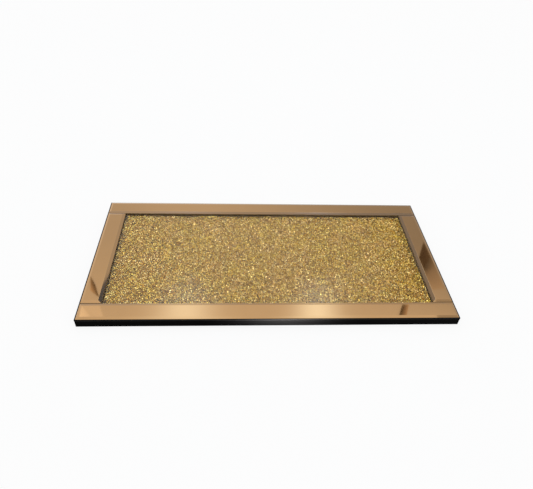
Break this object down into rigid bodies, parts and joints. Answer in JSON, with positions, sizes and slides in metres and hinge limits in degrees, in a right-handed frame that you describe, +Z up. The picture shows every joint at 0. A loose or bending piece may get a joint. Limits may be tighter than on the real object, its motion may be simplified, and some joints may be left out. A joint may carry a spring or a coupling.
{
  "type": "vanity tray",
  "caption": "Flat rectangular vanity tray: a border of bevelled rose-gold mirror strips round crushed gold crystal under clear glass, on a black felted board.",
  "frame": {"origin": "middle of the felt underside, on the surface that the tray stands on", "axes": "+Z up, +X along the length, -Y towards the front of the tray"},
  "size_m": [0.4, 0.2, 0.012],
  "materials": {
    "black_felt": "short-napped felt",
    "black_paint": "fibreboard with satin black paint",
    "gold_foil": "metallised gold card",
    "gold_crystal": "crushed glass with a gold coat",
    "black_tape": "double-sided black foam tape",
    "white_tape": "double-sided foam tape",
    "clear_glass": "clear float glass with polished edges",
    "rose_mirror": "rose-gold tinted mirror with ground bevels"
  },
  "bodies": {
    "root": {"felt_base": "black_felt", "base_board": "black_paint", "front_rail": "black_paint", "rear_rail": "black_paint", "left_rail": "black_paint", "right_rail": "black_paint", "foil_card": "gold_foil", "crystal_bed": "gold_crystal", "front_glazing_tape": "black_tape", "rear_glazing_tape": "black_tape", "left_glazing_tape": "black_tape", "right_glazing_tape": "black_tape", "clear_pane": "clear_glass", "front_mirror_tape": "white_tape", "rear_mirror_tape": "white_tape", "left_mirror_tape": "white_tape", "right_mirror_tape": "white_tape", "front_mirror": "rose_mirror", "rear_mirror": "rose_mirror", "left_mirror": "rose_mirror", "right_mirror": "rose_mirror"}
  },
  "joints": []
}
